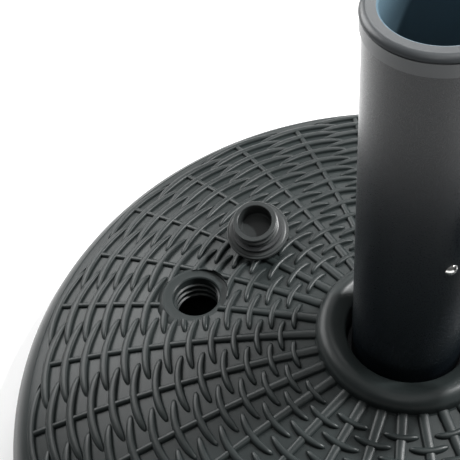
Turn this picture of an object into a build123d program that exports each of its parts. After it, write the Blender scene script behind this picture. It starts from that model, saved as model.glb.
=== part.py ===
from build123d import *
from math import asin, cos, pi, radians, sin, sqrt, tan
import os

# Fillable parasol base: a round hollow tank with a stem tube that a parasol pole drops into.
# Millimetres, +Z up, origin on the stem axis at floor level. The clamping knob points along +X
# and the filler neck lies on the far side of the stem.

# ---------------------------------------------------------------- driving dimensions
rim_radius = 245.0            # outside of the tank
crown_radius = 598.0          # radius of the arc that rounds the top
crown_centre_r = 11.0         # how far that arc's centre lies outside the stem axis
crown_r, crown_z = 62.0, 98.0          # the arc passes through this point, just outside the collar
rim_corner = 24.0             # radius between the top and the side wall
wall = 3.5                    # tank wall
seam_z = 24.0                 # weld line between the two tank halves
floor_z = 3.0                 # underside of the pan
pan_floor = 5.0               # thickness of the pan's floor

collar_r, collar_bead = 45.6, 7.2      # centre line and radius of the rounded collar ring
collar_slope = 30.0           # how steeply the ring falls towards the stem, degrees
well_r = 35.2                 # well round the foot of the stem
ledge_z = 70.0                # ledge that the stem socket stands on
sleeve_r = 30.0               # hole for the threaded spigot
plate_z = 30.0                # where the well's sleeve meets the pan
recess_r = 46.0               # recess in the underside round the ring nut

tube_r, tube_wall = 31.5, 3.0
pole_r = 25.0                 # bore for the parasol pole
stem_top = 325.0
band_height = 10.0            # visible height of the end collar
skirt_length = 30.0           # part of the end collar inside the tube
tube_foot_z = 75.0

filler_r, filler_angle = 132.9, 200.2  # place of the filler neck, from the stem axis
seat_r, seat_z = 20.1, 84.4   # flat seat that the plug's head lands on
neck_bore, neck_depth = 14.7, 20.0
thread_pitch, thread_depth = 5.0, 1.1

plug_head_r, plug_head_h = 19.9, 5.0
plug_crown = 1.6              # how far the head bulges
grip_length, grip_width, grip_height = 24.0, 7.0, 4.2   # bar across the head to turn the plug by
plug_root_r, plug_h, plug_cavity_r = 13.0, 19.2, 10.7
seal_r, seal_h = 16.1, 3.6
plug_spot_r, plug_spot_angle = 118.3, 175.3   # where the plug lies on the tank
plug_spot_z = 97.3              # middle of its bulged head there
plug_lean, plug_lean_to = 18.0, -65.0         # it leans on its grip and the head's edge, degrees

clamp_z = 193.0               # height of the clamping screw
screw_r, travel = 4.0, 12.5
hub_r, hub_end = 6.5, 35.0    # tapped hub of the nut plate
rivet_angle, rivet_r = 28.7, 2.0
knob_r, knob_lobes = 20.0, 6

foot_count, foot_ring_r, foot_r, foot_h = 6, 205.0, 13.0, 5.0
running = 0.05                # radial clearance of turning and sliding fits


# ---------------------------------------------------------------- helpers
def cylinder(radius, low, high):
    return Pos(0, 0, low) * Cylinder(radius, high - low, align=(Align.CENTER, Align.CENTER, Align.MIN))


def ring(inner, outer, low, high):
    return cylinder(outer, low, high) - cylinder(inner, low - 1, high + 1)


def turned(*lines):
    """Turn a closed outline of (radius, height) lines round the stem axis."""
    outline = Curve() + list(lines)
    return revolve(make_face(Plane.XZ * outline), Axis.Z)


def on_clamp_axis(shape, angle=0.0):
    """Lay a shape built along +Z so that it points outwards at the clamp's height."""
    return Rot(0, 0, angle) * Pos(0, 0, clamp_z) * Rot(0, 90, 0) * shape


def write(node, shape):
    shape.label = node
    export_step(shape, f"parts/{node}.step")


# ---------------------------------------------------------------- tank
crown_centre_z = crown_z - sqrt(crown_radius**2 - (crown_r - crown_centre_r) ** 2)


def crown_height(radius, inset=0.0):
    """Height of the top, or of its inner face, inside the rim's corner."""
    return crown_centre_z + sqrt((crown_radius - inset) ** 2 - (radius - crown_centre_r) ** 2)


def top_outline(start_r, end_r, corner, inset):
    """Lines along the top from the side wall inwards: the rim's corner, then the crown's arc."""
    centre_r = end_r - corner
    reach = crown_radius - inset - corner
    slope = asin((centre_r - crown_centre_r) / reach)
    centre_z = crown_centre_z + reach * cos(slope)

    def on_corner(angle):
        return centre_r + corner * sin(angle), centre_z + corner * cos(angle)

    wall_point, join = on_corner(pi / 2), on_corner(slope)
    half_r = (start_r + join[0]) / 2
    return wall_point, [
        ThreePointArc(wall_point, on_corner((slope + pi / 2) / 2), join),
        ThreePointArc(join, (half_r, crown_height(half_r, inset)), (start_r, crown_height(start_r, inset))),
    ]


def make_tank_top():
    bead_out = collar_r + collar_bead
    bead_z = crown_height(bead_out) + 1.0
    outer_wall, outer = top_outline(bead_out, rim_radius, rim_corner, 0.0)
    well_out = well_r + wall
    inner_wall, inner = top_outline(well_out, rim_radius - wall, rim_corner - wall, wall)
    slope = radians(collar_slope)
    slope_r, slope_z = collar_r - collar_bead * sin(slope), bead_z + collar_bead * cos(slope)
    well_lip = (well_r, slope_z - (slope_r - well_r) * tan(slope))
    bead = [
        Line((bead_out, crown_height(bead_out)), (bead_out, bead_z)),
        ThreePointArc((bead_out, bead_z), (collar_r, bead_z + collar_bead), (slope_r, slope_z)),
        Line((slope_r, slope_z), well_lip),
    ]
    well = Polyline(
        well_lip, (well_r, ledge_z), (sleeve_r, ledge_z), (sleeve_r, plate_z),
        (sleeve_r + wall, plate_z), (sleeve_r + wall, ledge_z - wall), (well_out, ledge_z - wall),
        (well_out, crown_height(well_out, wall)),
    )
    skirt = Polyline(inner_wall, (rim_radius - wall, seam_z), (rim_radius, seam_z), outer_wall)
    shell = turned(*outer, *bead, well, *inner, skirt)
    filler = Rot(0, 0, filler_angle) * Pos(filler_r, 0, 0)
    shell += filler * cylinder(seat_r + wall, seat_z - wall, seat_z) - filler * cylinder(5, 0, 200)
    shell += filler * cylinder(neck_bore + wall, seat_z - neck_depth, seat_z)
    shell -= filler * cylinder(seat_r, seat_z, seat_z + 30)
    shell -= filler * cylinder(neck_bore, seat_z - neck_depth - 1, seat_z + 1)
    for turn in range(3):
        middle = seat_z - 5.0 - turn * thread_pitch
        ridge = ring(neck_bore - thread_depth, neck_bore + 0.5, middle - 0.8, middle + 0.8)
        shell += filler * ridge
    return shell


def make_tank_pan():
    low, top = floor_z, floor_z + pan_floor
    corner = 6.0
    edge = rim_radius - 0.6
    outline = [
        Line((edge, seam_z), (edge, low + corner)),
        ThreePointArc((edge, low + corner),
                      (edge - corner * (1 - cos(pi / 4)), low + corner * (1 - sin(pi / 4))),
                      (edge - corner, low)),
        Polyline(
            (edge - corner, low), (recess_r, low), (recess_r, plate_z - wall),
            (sleeve_r, plate_z - wall), (sleeve_r, plate_z), (recess_r + wall, plate_z),
            (recess_r + wall, top), (edge - corner, top), (edge - wall, top + corner - wall),
            (edge - wall, seam_z), (edge, seam_z),
        ),
    ]
    pan = turned(*outline)
    for groove_r in (90.0, 150.0):
        pan -= ring(groove_r - 4, groove_r + 4, low - 1, low + 1.5)
    for spot in foot_spots():
        pan -= spot * cylinder(foot_r + 0.1, low - 1, low + 2)
    return pan


def foot_spots():
    return [Rot(0, 0, 30 + 360 / foot_count * n) * Pos(foot_ring_r, 0, 0) for n in range(foot_count)]


def make_foot(spot):
    pad = cylinder(foot_r, 0, foot_h)
    pad = chamfer(pad.edges().sort_by(Axis.Z)[0], 1.0)
    return spot * pad


# ---------------------------------------------------------------- stem
def make_stem_tube():
    tube = ring(tube_r - tube_wall, tube_r, tube_foot_z, stem_top - band_height)
    tube -= on_clamp_axis(cylinder(hub_r + 0.1, 20, 40))
    for side in (-1, 1):
        tube -= on_clamp_axis(cylinder(rivet_r + 0.05, 20, 40), side * rivet_angle)
    return tube


def make_stem_socket():
    bore = pole_r + 0.75
    body = ring(bore, sleeve_r - 0.5, 12.0, ledge_z)
    body += ring(bore, well_r - 0.6, ledge_z, tube_foot_z)
    body += ring(tube_r + 0.05, tube_r + 2.7, tube_foot_z, tube_foot_z + 11)
    return body


def make_ring_nut():
    nut = ring(sleeve_r - 0.45, recess_r - 7, 11.0, plate_z - wall - 2.5)
    for n in range(8):
        nut -= Rot(0, 0, 45 * n) * Pos(recess_r - 7, 0, 16) * Box(5, 9, 30)
    return nut


def make_stem_washer():
    return ring(sleeve_r - 0.4, recess_r - 2, plate_z - wall - 2.5, plate_z - wall)


def make_pole_stop():
    cup = ring(pole_r - 1.5, pole_r + 0.7, 12.0, 34.0) + ring(6.0, pole_r + 0.7, 12.0, 15.0)
    return cup


def make_end_collar():
    low, top = stem_top - band_height, stem_top
    band, lip = tube_r + 1.0, tube_r + 1.5
    outline = [
        Polyline((pole_r, low - skirt_length), (tube_r - tube_wall - 0.05, low - skirt_length),
                 (tube_r - tube_wall - 0.05, low), (band, low), (band, top - 3.6),
                 (band - 0.5, top - 3.1), (lip, top - 2.4)),
        ThreePointArc((lip, top - 2.4), (lip - 1.1, top - 0.7), (lip - 3.5, top)),
        Line((lip - 3.5, top), (pole_r + 1.2, top)),
        ThreePointArc((pole_r + 1.2, top), (pole_r + 0.35, top - 0.35), (pole_r, top - 1.2)),
        Line((pole_r, top - 1.2), (pole_r, low - skirt_length)),
    ]
    return turned(*outline)


# ---------------------------------------------------------------- clamp
plate_in, plate_out = pole_r + 1.1, tube_r - tube_wall - 0.05


def make_nut_plate():
    plate = ring(plate_in, plate_out, clamp_z - 11, clamp_z + 11)
    wedge = extrude(make_face(Polyline((0, 0), (60, -43), (60, 43), (0, 0))), 400)
    plate = plate & wedge
    hub = on_clamp_axis(cylinder(hub_r, plate_in + 1.0, hub_end))
    bore = on_clamp_axis(cylinder(screw_r + running, 20, 60))
    plate = plate + hub - bore
    for side in (-1, 1):
        plate -= on_clamp_axis(cylinder(rivet_r + 0.05, 20, 40), side * rivet_angle)
    return plate


def make_rivet(side):
    head = Sphere(4.2) & Pos(0, 0, 2.4) * cylinder(5, 0, 5)
    head = Pos(0, 0, tube_r - 2.4) * head
    rivet = cylinder(rivet_r, plate_in - 0.4, tube_r) + head
    return on_clamp_axis(rivet - cylinder(0.6, 30, 40), side * rivet_angle)


def make_pressure_tip():
    return on_clamp_axis(cylinder(screw_r - 0.7, pole_r + 0.1, pole_r + 1.7)
                         + cylinder(1.5, pole_r + 1.7, pole_r + 5.0))


def make_clamp_screw():
    shank = cylinder(screw_r, pole_r + 1.8, 62.0)
    return on_clamp_axis(shank - cylinder(1.5 + running, pole_r, pole_r + 5.3))


def make_clamp_knob():
    hub_face = hub_end + 0.5 + travel
    body = cylinder(knob_r, hub_face + 6, hub_face + 20)
    for n in range(knob_lobes):
        body -= Rot(0, 0, 360 / knob_lobes * n) * Pos(knob_r + 3.5, 0, 0) * cylinder(7.0, 0, 100)
    body = fillet(body.edges().filter_by(GeomType.CIRCLE).group_by(Axis.Z)[-1], 1.5)
    body += cylinder(9.5, hub_face, hub_face + 6)
    body -= cylinder(screw_r + 0.02, 0, 62.0)
    body -= cylinder(9.0, hub_face + 17.5, 100)
    return on_clamp_axis(body)


def make_knob_cap():
    hub_face = hub_end + 0.5 + travel
    cap = cylinder(8.9, hub_face + 17.5, hub_face + 21)
    cap = fillet(cap.edges().sort_by(Axis.Z)[-1], 1.0)
    return on_clamp_axis(cap)


# ---------------------------------------------------------------- plug
lean = Pos(plug_spot_r * cos(radians(plug_spot_angle)), plug_spot_r * sin(radians(plug_spot_angle)),
           plug_spot_z) * Rot(0, 0, plug_lean_to) * Rot(0, plug_lean, 0)


def make_filler_plug():
    edge = plug_head_h - 1.0
    outline = [
        ThreePointArc((0, 0), (plug_head_r / 2, plug_crown / 4), (plug_head_r - 1, plug_crown)),
        Polyline((plug_head_r - 1, plug_crown), (plug_head_r, plug_crown + 1), (plug_head_r, edge),
                 (plug_head_r - 1, plug_head_h), (plug_root_r, plug_head_h), (plug_root_r, plug_h - 1.5),
                 (plug_root_r + 0.8, plug_h - 1.5), (plug_root_r + 0.8, plug_h),
                 (plug_cavity_r, plug_h), (plug_cavity_r, plug_head_h + 1), (0, plug_head_h + 1), (0, 0)),
    ]
    plug = turned(*outline)
    for turn in range(2):
        middle = plug_head_h + seal_h + 2.0 + turn * thread_pitch
        plug += ring(plug_root_r - 0.5, plug_root_r + 1.3, middle - 0.8, middle + 0.8)
    grip = Pos(0, 0, plug_crown - (grip_height + plug_crown) / 2) * Box(
        grip_width, grip_length, grip_height + plug_crown)
    plug += fillet(grip.edges().group_by(Axis.Z)[0], 1.2)
    return lean * plug


def make_plug_seal():
    return lean * ring(plug_root_r + 0.05, seal_r, plug_head_h, plug_head_h + seal_h)


os.makedirs("parts", exist_ok=True)
write("tank_top", make_tank_top())
write("tank_pan", make_tank_pan())
for number, spot in enumerate(foot_spots(), start=1):
    write(f"rubber_foot_{number}", make_foot(spot))
write("stem_tube", make_stem_tube())
write("stem_socket", make_stem_socket())
write("stem_washer", make_stem_washer())
write("ring_nut", make_ring_nut())
write("pole_stop", make_pole_stop())
write("end_collar", make_end_collar())
write("nut_plate", make_nut_plate())
write("plate_rivets", Compound(children=[make_rivet(-1), make_rivet(1)]))
write("pressure_tip", make_pressure_tip())
write("clamp_screw", make_clamp_screw())
write("clamp_knob", make_clamp_knob())
write("knob_cap", make_knob_cap())
write("filler_plug", make_filler_plug())
write("plug_seal", make_plug_seal())
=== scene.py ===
from math import asin, cos, hypot, pi, radians, sin, sqrt, tan

import bpy
import numpy as np
from mathutils import Matrix, Vector


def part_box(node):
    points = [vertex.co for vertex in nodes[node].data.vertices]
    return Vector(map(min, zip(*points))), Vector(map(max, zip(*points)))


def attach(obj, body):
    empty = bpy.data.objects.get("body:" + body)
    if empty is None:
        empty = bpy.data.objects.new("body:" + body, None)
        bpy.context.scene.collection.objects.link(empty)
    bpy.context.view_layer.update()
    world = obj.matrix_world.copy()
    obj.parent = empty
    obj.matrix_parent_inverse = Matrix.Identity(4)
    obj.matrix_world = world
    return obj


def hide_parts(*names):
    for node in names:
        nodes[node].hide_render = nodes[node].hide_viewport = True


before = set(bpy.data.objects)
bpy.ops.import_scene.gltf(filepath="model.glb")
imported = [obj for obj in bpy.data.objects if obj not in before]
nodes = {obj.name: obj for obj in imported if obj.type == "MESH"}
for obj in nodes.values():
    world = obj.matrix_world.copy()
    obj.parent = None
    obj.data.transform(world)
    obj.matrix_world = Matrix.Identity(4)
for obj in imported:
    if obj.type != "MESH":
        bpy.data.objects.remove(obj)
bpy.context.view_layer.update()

MM = 0.001                                     # the shapes below are worked out in millimetres

# ---------------------------------------------------------------- sizes from the tank_top part
rim_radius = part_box("tank_top")[1].x / MM
bead_top_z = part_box("tank_top")[1].z / MM
seam_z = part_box("tank_top")[0].z / MM

# ---------------------------------------------------------------- the tank's own shape
wall = 3.5
crown_radius, crown_centre_r = 598.0, 11.0     # arc that rounds the top, and its centre's distance
crown_r, crown_z = 62.0, 98.0                  # point on that arc just outside the collar
rim_corner = 24.0
relief = 2.8                                   # depth of the woven pattern
band_drop = 0.8                                # how far the rim's smooth band lies below the weave
bead_centre, bead_radius, well_radius = 45.6, 7.2, 35.2
foot_blend = 0.8                               # bevel where the collar meets the ground
collar_slope = radians(30.0)                   # how steeply the collar falls towards the stem
ledge_z, sleeve_radius, plate_z = 70.0, 30.0, 30.0

pole_radius = 25.0

spoke_count = 30
spoke_gap = 2 * pi / spoke_count
row_count = 13
first_row, row_pitch, row_shrink = 230.4, 13.34, 0.0265
strand_reach = 0.71 * spoke_gap                # half the angle that a strand spans
strand_bow = 0.022                             # how far its tips bend inwards
strand_half, strand_widen = 1.35, 0.0076       # half its width at the axis, and how that grows outwards
strand_taper, strand_sag = 0.25, 0.2           # how much narrower and lower it gets towards its tips
spoke_half, spoke_flare = 2.0, 1.3             # half a spoke's width, and what its inner end adds
flare_start, flare_length = 120.0, 65.0
spoke_relief = 0.76 * relief

filler_place, filler_angle = 132.9, radians(200.2)
seat_radius, seat_z = 20.1, 84.4
neck_bore, neck_depth = 14.7, 20.0
thread_pitch = 5.0
seat_lip, seat_apron = 1.5, 6.0                # rings outside the seat that blend it into the ground

plug_place, plug_angle, plug_z = 118.3, radians(175.3), 97.3
plug_lean, plug_lean_to = radians(18.0), radians(-65.0)
head_radius, head_height, head_crown = 19.9, 5.0, 1.6
plug_root, plug_height, cavity_radius = 13.0, 19.2, 10.7
grip_length, grip_width, grip_height, grip_bevel = 24.0, 7.0, 4.2, 1.2
flange_low, flange_step, step_z = 3.7, 0.4, 4.2        # the head's rim narrows in two steps
tier_out, tier_z = 0.8, 1.9                    # ring round the plug's open end, and its depth


# ---------------------------------------------------------------- mesh helpers
def mesh_object(name, verts, faces, material, sharp=35.0):
    """A mesh in metres from vertices in millimetres, smooth but for edges sharper than sharp degrees."""
    mesh = bpy.data.meshes.new(name)
    mesh.from_pydata([tuple(v) for v in np.asarray(verts) * MM], [], [tuple(f) for f in faces])
    mesh.validate()
    mesh.shade_smooth()
    mesh.set_sharp_from_angle(angle=radians(sharp))
    mesh.materials.append(material)
    obj = bpy.data.objects.new(name, mesh)
    bpy.context.scene.collection.objects.link(obj)
    return obj


def arc(centre, radius, start, end, steps=8):
    """Points of an arc in the (r, z) half plane, angles in degrees."""
    angles = np.radians(np.linspace(start, end, steps + 1))
    return [(centre[0] + radius * cos(a), centre[1] + radius * sin(a)) for a in angles]


def turn_profile(profile, segments):
    """Vertices and faces of a closed (r, z) outline turned round Z. Points with r = 0 become poles."""
    verts, rings = [], []
    angles = np.arange(segments) * 2 * pi / segments
    for r, z in profile:
        if r < 1e-6:
            rings.append([len(verts)] * segments)
            verts.append((0.0, 0.0, z))
        else:
            rings.append(list(range(len(verts), len(verts) + segments)))
            verts.extend((r * cos(a), r * sin(a), z) for a in angles)
    faces = []
    for lower, upper in zip(rings, rings[1:] + rings[:1]):
        for k in range(segments):
            n = (k + 1) % segments
            corners = [lower[k], lower[n], upper[n], upper[k]]
            corners = [c for i, c in enumerate(corners) if c not in corners[:i]]
            if len(corners) > 2:
                faces.append(corners)
    return np.array(verts), faces


def outward(obj):
    """Turn the faces so that the closed mesh has a positive volume."""
    mesh = obj.data
    mesh.calc_loop_triangles()
    co = np.array([v.co for v in mesh.vertices])
    tri = np.array([t.vertices for t in mesh.loop_triangles])
    volume = np.einsum("ij,ij->i", co[tri[:, 0]], np.cross(co[tri[:, 1]], co[tri[:, 2]])).sum()
    if volume < 0:
        mesh.flip_normals()


def join_parts(name, parts, material, sharp=35.0):
    """One mesh from several (verts, faces) parts."""
    verts, faces, base = [], [], 0
    for part_verts, part_faces in parts:
        verts.append(np.asarray(part_verts))
        faces.extend([i + base for i in f] for f in part_faces)
        base += len(part_verts)
    return mesh_object(name, np.vstack(verts), faces, material, sharp)


def cut(obj, cutter):
    """Take the cutter's volume out of obj."""
    modifier = obj.modifiers.new("cut", "BOOLEAN")
    modifier.operation, modifier.solver, modifier.object = "DIFFERENCE", "EXACT", cutter
    bpy.context.view_layer.update()
    graph = bpy.context.evaluated_depsgraph_get()
    mesh = bpy.data.meshes.new_from_object(obj.evaluated_get(graph), depsgraph=graph)
    obj.modifiers.clear()
    obj.data = mesh
    mesh.set_sharp_from_angle(angle=radians(35.0))


def helix_ridge(root, crest, pitch, turns, start_z, width, internal=False, steps=48):
    """A thread: a trapezoid section that winds up from start_z and fades in and out at its ends."""
    count = int(steps * turns)
    verts, faces = [], []
    inward = -1 if internal else 1
    for k in range(count + 1):
        t = k / count
        fade = min(1.0, t * turns / 0.15, (1 - t) * turns / 0.15)
        a, z = 2 * pi * turns * t, start_z + pitch * turns * t
        reach = root + (crest - root) * fade
        base = root - 0.4 * inward
        for r, dz in ((base, -width), (reach, -width * 0.35), (reach, width * 0.35), (base, width)):
            verts.append((r * cos(a), r * sin(a), z + dz))
        if k:
            b = 4 * (k - 1)
            for i in range(4):
                j = (i + 1) % 4
                faces.append([b + i, b + j, b + 4 + j, b + 4 + i])
    faces.append([0, 1, 2, 3])
    faces.append([4 * count + i for i in (3, 2, 1, 0)])
    if not internal:
        faces = [f[::-1] for f in faces]
    return np.array(verts), faces


# ---------------------------------------------------------------- materials
tone_scale = 14.0                              # scale of the uneven tone, per metre
roughness_spread = 0.06                        # how far the grain moves the roughness either way


def moulded(name, colour, roughness, grain_mm, grain_depth, mottle=0.12, specular=0.5):
    """Moulded plastic or rubber: fine grain in the bump and roughness, and a faint uneven tone."""
    material = bpy.data.materials.new(name)
    material.use_nodes = True
    tree = material.node_tree
    shader = tree.nodes["Principled BSDF"]
    shader.inputs["Specular IOR Level"].default_value = specular
    place = tree.nodes.new("ShaderNodeTexCoord")

    def noise(scale, detail=3.0):
        node = tree.nodes.new("ShaderNodeTexNoise")
        node.inputs["Scale"].default_value = scale
        node.inputs["Detail"].default_value = detail
        tree.links.new(place.outputs["Object"], node.inputs["Vector"])
        return node.outputs["Fac"]

    def ramp(source, low, high):
        node = tree.nodes.new("ShaderNodeMapRange")
        node.inputs["From Min"].default_value = 0.3
        node.inputs["From Max"].default_value = 0.7
        node.inputs["To Min"].default_value = low
        node.inputs["To Max"].default_value = high
        tree.links.new(source, node.inputs["Value"])
        return node.outputs["Result"]

    grain = noise(1.0 / (grain_mm * MM))
    broad = noise(tone_scale, 4.0)
    tone = tree.nodes.new("ShaderNodeMix")
    tone.data_type = "RGBA"
    dark = [c * (1 - mottle) for c in colour]
    light = [c * (1 + mottle) for c in colour]
    tone.inputs["A"].default_value = (*dark, 1)
    tone.inputs["B"].default_value = (*light, 1)
    tree.links.new(ramp(broad, 0.0, 1.0), tone.inputs["Factor"])
    tree.links.new(tone.outputs["Result"], shader.inputs["Base Color"])
    gloss = ramp(grain, roughness - roughness_spread, roughness + roughness_spread)
    tree.links.new(gloss, shader.inputs["Roughness"])
    bump = tree.nodes.new("ShaderNodeBump")
    bump.inputs["Distance"].default_value = grain_depth * MM
    bump.inputs["Strength"].default_value = 1.0
    tree.links.new(grain, bump.inputs["Height"])
    tree.links.new(bump.outputs["Normal"], shader.inputs["Normal"])
    return material


def steel(name, colour, roughness):
    material = moulded(name, colour, roughness, 0.8, 0.01, 0.05)
    material.node_tree.nodes["Principled BSDF"].inputs["Metallic"].default_value = 1.0
    return material


def paint_bore_light(material, colour, radius):
    """Painted light: another tone inside the given radius round the stem axis, used for the blueish
    light in the pole bore.
    """
    tree = material.node_tree
    place = tree.nodes.new("ShaderNodeTexCoord")
    flat = tree.nodes.new("ShaderNodeVectorMath")
    flat.operation = "MULTIPLY"
    flat.inputs[1].default_value = (1, 1, 0)
    reach = tree.nodes.new("ShaderNodeVectorMath")
    reach.operation = "LENGTH"
    inside = tree.nodes.new("ShaderNodeMath")
    inside.operation = "LESS_THAN"
    inside.inputs[1].default_value = radius * MM
    tone = tree.nodes.new("ShaderNodeMix")
    tone.data_type = "RGBA"
    tone.inputs["B"].default_value = (*colour, 1)
    base = tree.nodes["Principled BSDF"].inputs["Base Color"]
    tree.links.new(place.outputs["Object"], flat.inputs[0])
    tree.links.new(flat.outputs["Vector"], reach.inputs[0])
    tree.links.new(reach.outputs["Value"], inside.inputs[0])
    tree.links.new(inside.outputs["Value"], tone.inputs["Factor"])
    tree.links.new(base.links[0].from_socket, tone.inputs["A"])
    tree.links.new(tone.outputs["Result"], base)


tank_plastic = moulded("tank_plastic", (0.015, 0.019, 0.019), 0.38, 0.45, 0.030, specular=0.26)
stem_plastic = moulded("stem_plastic", (0.004, 0.006, 0.008), 0.30, 0.5, 0.005, 0.06, specular=0.38)
collar_plastic = moulded("collar_plastic", (0.034, 0.038, 0.041), 0.36, 0.5, 0.015, 0.06)
# painted light: a lighter blue-teal tone inside the pole bore, standing in for the blueish light in it
paint_bore_light(collar_plastic, (0.070, 0.115, 0.145), pole_radius + 1)
trim_plastic = moulded("trim_plastic", (0.028, 0.030, 0.032), 0.45, 0.6, 0.03)
knob_plastic = moulded("knob_plastic", (0.024, 0.026, 0.028), 0.38, 0.6, 0.03)
plug_plastic = moulded("plug_plastic", (0.017, 0.020, 0.020), 0.40, 0.5, 0.02)
nylon = moulded("nylon", (0.72, 0.70, 0.66), 0.42, 0.6, 0.01, 0.03)
zinc_steel = steel("zinc_steel", (0.62, 0.63, 0.64), 0.28)
rivet_steel = steel("rivet_steel", (0.75, 0.75, 0.73), 0.22)
foot_rubber = moulded("foot_rubber", (0.020, 0.020, 0.020), 0.70, 0.7, 0.05)
seal_rubber = moulded("seal_rubber", (0.026, 0.028, 0.029), 0.55, 0.6, 0.02)

node_materials = {
    "tank_pan": tank_plastic, "stem_tube": stem_plastic, "stem_socket": stem_plastic,
    "end_collar": collar_plastic, "stem_washer": trim_plastic, "ring_nut": trim_plastic,
    "pole_stop": trim_plastic, "nut_plate": zinc_steel, "plate_rivets": rivet_steel,
    "pressure_tip": nylon, "clamp_screw": zinc_steel, "clamp_knob": knob_plastic,
    "knob_cap": knob_plastic, "filler_plug": plug_plastic, "plug_seal": seal_rubber,
}
for name, node in nodes.items():
    material = node_materials.get(name, foot_rubber if name.startswith("rubber_foot") else None)
    if material:
        node.data.materials.clear()
        node.data.materials.append(material)


# ---------------------------------------------------------------- tank top
crown_base = crown_z - sqrt(crown_radius**2 - (crown_r - crown_centre_r) ** 2)
corner_r = rim_radius - rim_corner
corner_reach = crown_radius - rim_corner
corner_slope = asin((corner_r - crown_centre_r) / corner_reach)
corner_z = crown_base + corner_reach * cos(corner_slope)


def top_height(r, inset=0.0):
    """Height of the top of the weave at distance r from the axis, or of a face inset below it."""
    if r > corner_r + (rim_corner - inset) * sin(corner_slope):
        return corner_z + sqrt(max(0.0, (rim_corner - inset) ** 2 - (r - corner_r) ** 2))
    return crown_base + sqrt((crown_radius - inset) ** 2 - (r - crown_centre_r) ** 2)


def ground_height(r):
    return top_height(r, relief)


def row_radius(row):
    return first_row - row_pitch * row - row_shrink * row * row


def spoke_azimuth(spoke):
    return spoke * spoke_gap


def strand_radius(row, u):
    """Distance from the axis of a strand's centre line, u from -1 to 1 along it."""
    return row_radius(row) * (1 - strand_bow * u * u)


def band_edge(azimuth):
    """Where the smooth band starts: under the outermost strand at this azimuth."""
    from_odd = abs((azimuth / spoke_gap) % 2 - 1) * spoke_gap
    if from_odd < strand_reach:
        return strand_radius(0, from_odd / strand_reach)
    return strand_radius(0.5, (spoke_gap - from_odd) / strand_reach)


def shell_outline(azimuth):
    """Closed outline of the shell at one azimuth. Every azimuth gives the same number of points."""
    bead_out = bead_centre + bead_radius
    bead_z = bead_top_z - bead_radius
    well_out = well_radius + wall
    edge = band_edge(azimuth)
    slope_r = bead_centre - bead_radius * sin(collar_slope)
    slope_z = bead_z + bead_radius * cos(collar_slope)
    lip_z = slope_z - (slope_r - well_radius) * tan(collar_slope)
    outline = [(well_radius, z) for z in np.linspace(ledge_z, lip_z - 1, 6)]
    outline += [(well_radius + 0.3, lip_z - 0.3), (well_radius + 1.2, lip_z + 0.6)]
    outline += arc((bead_centre, bead_z), bead_radius, 90 + np.degrees(collar_slope), 0, 20)
    outline += [(bead_out, ground_height(bead_out) + foot_blend),
                (bead_out + foot_blend, ground_height(bead_out + foot_blend))]
    outline += [(r, ground_height(r)) for r in np.linspace(56, edge, 44)]
    band = np.linspace(edge + 0.3, corner_r + rim_corner * 0.45, 8)
    outline += [(r, top_height(r, band_drop)) for r in band]
    outline += arc((corner_r, corner_z), rim_corner - band_drop * 0.5, 61, 30, 6)
    outline += arc((corner_r, corner_z), rim_corner, 24, 0, 6)
    outline += [(rim_radius, seam_z + 1.0), (rim_radius - 0.6, seam_z), (rim_radius - wall, seam_z)]
    outline += arc((corner_r, corner_z), rim_corner - wall, 0, 90 - np.degrees(corner_slope), 8)
    outline += [(r, top_height(r, wall + relief)) for r in np.linspace(225, well_out, 24)]
    outline += [(well_out, ledge_z - wall), (sleeve_radius + wall, ledge_z - wall),
                (sleeve_radius + wall, plate_z), (sleeve_radius, plate_z), (sleeve_radius, ledge_z)]
    return outline


def make_shell(segments=480):
    azimuths = np.arange(segments) * 2 * pi / segments
    outlines = [shell_outline(a) for a in azimuths]
    count = len(outlines[0])
    verts = [(r * cos(a), r * sin(a), z) for a, outline in zip(azimuths, outlines) for r, z in outline]
    faces = []
    for k in range(segments):
        here, there = k * count, (k + 1) % segments * count
        for i in range(count):
            j = (i + 1) % count
            faces.append([here + i, there + i, there + j, here + j])
    shell = mesh_object("tank_shell", verts, faces, tank_plastic)
    outward(shell)
    return shell


def at_filler(r=0.0, angle=0.0):
    """Plan point at distance r from the filler neck's axis."""
    x, y = filler_place * cos(filler_angle), filler_place * sin(filler_angle)
    return x + r * cos(angle), y + r * sin(angle)


def seat_cutter():
    """Upright cylinder that clears the weave and the shell away over the filler's seat."""
    radius = seat_radius + 0.3
    verts, faces = turn_profile([(0, 50), (radius, 50), (radius, 140), (0, 140)], 128)
    verts = verts + np.array([*at_filler(), 0])
    obj = mesh_object("cutter", verts, faces, tank_plastic)
    outward(obj)
    return obj


def make_filler_neck(segments=128):
    """Seat, the wall round it, which follows the ground, and the threaded neck below."""
    verts, faces = [], []
    angles = np.arange(segments) * 2 * pi / segments
    bottom = seat_z - neck_depth
    for angle in angles:
        rim = ground_height(hypot(*at_filler(seat_radius + seat_lip, angle)))
        apron = ground_height(hypot(*at_filler(seat_radius + seat_apron, angle)))
        top = max(seat_z, rim - 0.1)
        outline = [(neck_bore, bottom), (neck_bore, seat_z - 0.8), (neck_bore + 0.7, seat_z - 0.1),
                   (seat_radius - 0.5, seat_z - 0.1), (seat_radius, seat_z), (seat_radius, top),
                   (seat_radius + seat_lip, top), (seat_radius + seat_apron, apron - 0.4),
                   (seat_radius + seat_apron, apron - 4.0),
                   (neck_bore + wall, seat_z - 5.0), (neck_bore + wall, bottom)]
        verts += [(*at_filler(r, angle), z) for r, z in outline]
    count = len(outline)
    for k in range(segments):
        here, there = k * count, (k + 1) % segments * count
        for i in range(count):
            j = (i + 1) % count
            faces.append([here + i, there + i, there + j, here + j])
    thread, thread_faces = helix_ridge(neck_bore, neck_bore - 1.1, thread_pitch, turns=3.3,
                                       start_z=bottom + 0.5, width=1.0, internal=True)
    thread = thread + np.array([*at_filler(), 0])
    neck = join_parts("filler_neck", [(verts, faces), (thread, thread_faces)], tank_plastic)
    outward(neck)
    return neck


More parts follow.
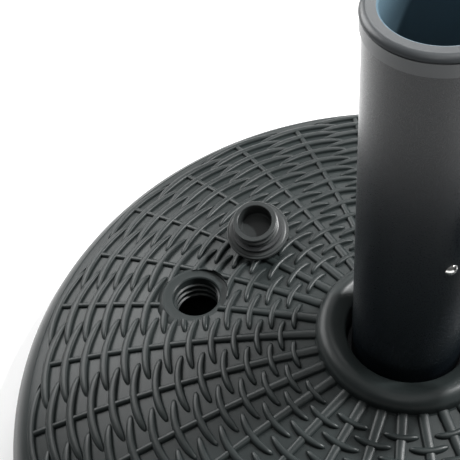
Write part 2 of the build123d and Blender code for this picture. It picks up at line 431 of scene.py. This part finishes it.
def section(steps, power):
    """Half-round cross-section: places across from -1 to 1 and heights from 0 to 1."""
    across = np.sin(np.linspace(-pi / 2, pi / 2, steps))
    return across, (1 - np.abs(across) ** power) ** (1 / power)


def ribbon(centre, half_width, height, across, shape, sink=1.2):
    """A closed raised ribbon along centre (plan points), with its section standing on the ground."""
    tangent = np.gradient(centre, axis=0)
    tangent /= np.linalg.norm(tangent, axis=1)[:, None]
    side = np.c_[-tangent[:, 1], tangent[:, 0]]
    count, row = len(centre), len(across) + 2
    verts = []
    for k in range(count):
        plan = centre[k] + np.outer(across * half_width[k], side[k])
        ground = np.array([ground_height(hypot(x, y)) for x, y in plan])
        top = ground + shape * height[k]
        verts += [(x, y, z) for (x, y), z in zip(plan, top)]
        verts += [(*plan[-1], ground[-1] - sink), (*plan[0], ground[0] - sink)]
    faces = []
    for k in range(count - 1):
        for i in range(row):
            j = (i + 1) % row
            faces.append([row * k + i, row * k + j, row * (k + 1) + j, row * (k + 1) + i])
    faces.append(list(range(row))[::-1])
    faces.append([row * (count - 1) + i for i in range(row)])
    return np.array(verts), faces


def strand(spoke, row):
    """One crescent that passes over a spoke and dives into the ground on both sides."""
    u = np.linspace(-1, 1, 25)
    u = 0.35 * np.sin(u * pi / 2) + 0.65 * u
    azimuth = spoke_azimuth(spoke) + u * strand_reach
    r = strand_radius(row, u)
    centre = np.c_[r * np.cos(azimuth), r * np.sin(azimuth)]
    tip = np.clip(1 - np.abs(u) ** 6, 0.0, 1)
    widest = strand_half + strand_widen * row_radius(row)
    half = widest * (1 - strand_taper * u**2) * np.sqrt(tip + 0.01)
    height = relief * (1 - strand_sag * u**2) * np.sqrt(tip) - strand_sag * u**8
    across, shape = section(9, 2.8)
    return ribbon(centre, half, height, across, shape)


def spoke_bar(spoke):
    r = np.linspace(bead_centre + bead_radius - 2, band_edge(spoke_azimuth(spoke)), 64)
    azimuth = spoke_azimuth(spoke)
    centre = np.c_[r * cos(azimuth), r * sin(azimuth)]
    half = spoke_half + spoke_flare * np.clip((flare_start - r) / flare_length, 0, 1)
    across, shape = section(9, 2.4)
    return ribbon(centre, half, np.full_like(r, spoke_relief), across, shape)


def make_weave(cutter):
    groups = {"weave_outer": [], "weave_middle": [], "weave_inner": [], "weave_spokes": []}
    near_seat = []
    for spoke in range(spoke_count):
        azimuth = spoke_azimuth(spoke)
        inner_end = spoke % 2
        rows = [k + 0.5 * (1 - inner_end) for k in range(row_count - 1 + inner_end)]
        for row in rows:
            x, y = row_radius(row) * cos(azimuth), row_radius(row) * sin(azimuth)
            away = hypot(x - at_filler()[0], y - at_filler()[1])
            if away < seat_radius + strand_reach * row_radius(row) + 4:
                near_seat.append(strand(spoke, row))
            else:
                group = "weave_outer" if row < 4 else "weave_middle" if row < 8 else "weave_inner"
                groups[group].append(strand(spoke, row))
        beside = abs((azimuth - filler_angle + pi) % (2 * pi) - pi) * filler_place
        (near_seat if beside < seat_radius + 4 else groups["weave_spokes"]).append(spoke_bar(spoke))
    pieces = [join_parts(name, parts, tank_plastic, 50) for name, parts in groups.items()]
    for number, part in enumerate(near_seat):  # cut one by one, so that each stays a closed mesh
        piece = join_parts(f"weave_by_seat_{number}", [part], tank_plastic, 50)
        cut(piece, cutter)
        pieces.append(piece)
    return pieces


def make_tank_top():
    cutter = seat_cutter()
    shell = make_shell()
    cut(shell, cutter)
    pieces = [shell, make_filler_neck(), *make_weave(cutter)]
    bpy.data.objects.remove(cutter)
    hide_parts("tank_top")
    for piece in pieces:
        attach(piece, "base")


# ---------------------------------------------------------------- plug
def box_part(length, width, low, high, bevel):
    """Upright box with its lower edges taken back by bevel."""
    verts, faces = [], []
    for inset, z in ((bevel, low), (0.0, low + bevel), (0.0, high)):
        x, y = width / 2 - inset, length / 2 - inset
        verts += [(-x, -y, z), (x, -y, z), (x, y, z), (-x, y, z)]
    for k in range(2):
        for i in range(4):
            j = (i + 1) % 4
            faces.append([4 * k + i, 4 * k + j, 4 * k + 4 + j, 4 * k + 4 + i])
    return np.array(verts), [[3, 2, 1, 0], *faces, [8, 9, 10, 11]]


def make_plug():
    top = plug_height
    outline = [(0, 0), (head_radius * 0.5, head_crown * 0.25), (head_radius - 1, head_crown)]
    outline += [(head_radius, head_crown + 1), (head_radius, flange_low),
                (head_radius - flange_step, step_z), (head_radius - 1.3, step_z + 0.1),
                (head_radius - 1.7, 4.8), (head_radius - 2.2, head_height)]
    outline += [(plug_root, head_height), (plug_root, top - tier_z), (plug_root + tier_out, top - 1.4),
                (plug_root + tier_out, top - 0.4), (plug_root + 0.4, top), (cavity_radius + 0.4, top),
                (cavity_radius, top - 0.4), (cavity_radius, head_height + 2),
                (cavity_radius - 1, head_height + 1), (0, head_height + 1)]
    body, body_faces = turn_profile(outline, 128)
    thread = helix_ridge(plug_root, plug_root + 1.4, thread_pitch, turns=1.75, start_z=8.9, width=1.1)
    grip = box_part(grip_length, grip_width, -grip_height, head_crown, grip_bevel)
    plug = join_parts("plug_body", [(body, body_faces), thread, grip], plug_plastic)
    place = Vector((plug_place * cos(plug_angle), plug_place * sin(plug_angle), plug_z)) * MM
    turn = Matrix.Rotation(plug_lean_to, 4, "Z") @ Matrix.Rotation(plug_lean, 4, "Y")
    plug.data.transform(Matrix.Translation(place) @ turn)
    outward(plug)
    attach(plug, "plug")
    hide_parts("filler_plug")


make_tank_top()
make_plug()


# ---------------------------------------------------------------- stage, lights, camera
def make_floor():
    mesh = bpy.data.meshes.new("floor")
    half = 6.0
    corners = [(-half, -half, 0), (half, -half, 0), (half, half, 0), (-half, half, 0)]
    mesh.from_pydata(corners, [], [(0, 1, 2, 3)])
    material = bpy.data.materials.new("floor")
    material.use_nodes = True
    shader = material.node_tree.nodes["Principled BSDF"]
    shader.inputs["Base Color"].default_value = (0.92, 0.92, 0.92, 1)
    shader.inputs["Roughness"].default_value = 0.8
    mesh.materials.append(material)
    floor = bpy.data.objects.new("floor", mesh)
    bpy.context.scene.collection.objects.link(floor)


def area_light(name, azimuth, elevation, distance, size, power, target=(0, 0, 0.08)):
    light = bpy.data.lights.new(name, "AREA")
    light.shape, light.size, light.energy = "SQUARE", size, power
    obj = bpy.data.objects.new(name, light)
    a, e = radians(azimuth), radians(elevation)
    offset = Vector((cos(a) * cos(e), sin(a) * cos(e), sin(e))) * distance
    obj.location = Vector(target) + offset
    obj.rotation_euler = offset.to_track_quat("Z", "Y").to_euler()
    bpy.context.scene.collection.objects.link(obj)
    return obj


def make_camera():
    """From in front of the stem, to the left of the knob, looking down on the filler's side."""
    rim = rim_radius * MM
    azimuth, distance, height = radians(-62.55), 1.2468 * rim, 2.2174 * rim
    heading, pitch, roll = radians(135.35), radians(-49.06), radians(-7.43)
    forward = Vector((cos(heading) * cos(pitch), sin(heading) * cos(pitch), sin(pitch)))
    level = Vector((sin(heading), -cos(heading), 0))
    above = level.cross(forward)
    right = cos(roll) * level + sin(roll) * above
    up = -sin(roll) * level + cos(roll) * above
    camera = bpy.data.cameras.new("camera")
    camera.sensor_width = 36.0
    camera.lens = 71.27
    camera.clip_start = 0.01
    obj = bpy.data.objects.new("camera", camera)
    matrix = Matrix((right, up, -forward)).transposed().to_4x4()
    matrix.translation = Vector((distance * cos(azimuth), distance * sin(azimuth), height))
    obj.matrix_world = matrix
    bpy.context.scene.collection.objects.link(obj)
    bpy.context.scene.camera = obj


make_floor()
area_light("window", 174, 32, 1.9, 1.2, 34)
area_light("ceiling", 60, 78, 2.2, 1.6, 9)
area_light("back", 122, 34, 1.9, 0.7, 10)
area_light("back_right", 52, 57, 2.0, 0.12, 52)
area_light("right_floor", 43, 60, 0.6, 0.4, 10, target=(0.30, 0.28, 0))
area_light("front_top", -62, 62, 1.8, 0.6, 3)
world = bpy.data.worlds.new("studio")
world.use_nodes = True
world.node_tree.nodes["Background"].inputs["Color"].default_value = (1, 1, 1, 1)
world.node_tree.nodes["Background"].inputs["Strength"].default_value = 0.10
bpy.context.scene.world = world
bpy.context.scene.view_settings.view_transform = "Standard"
make_camera()
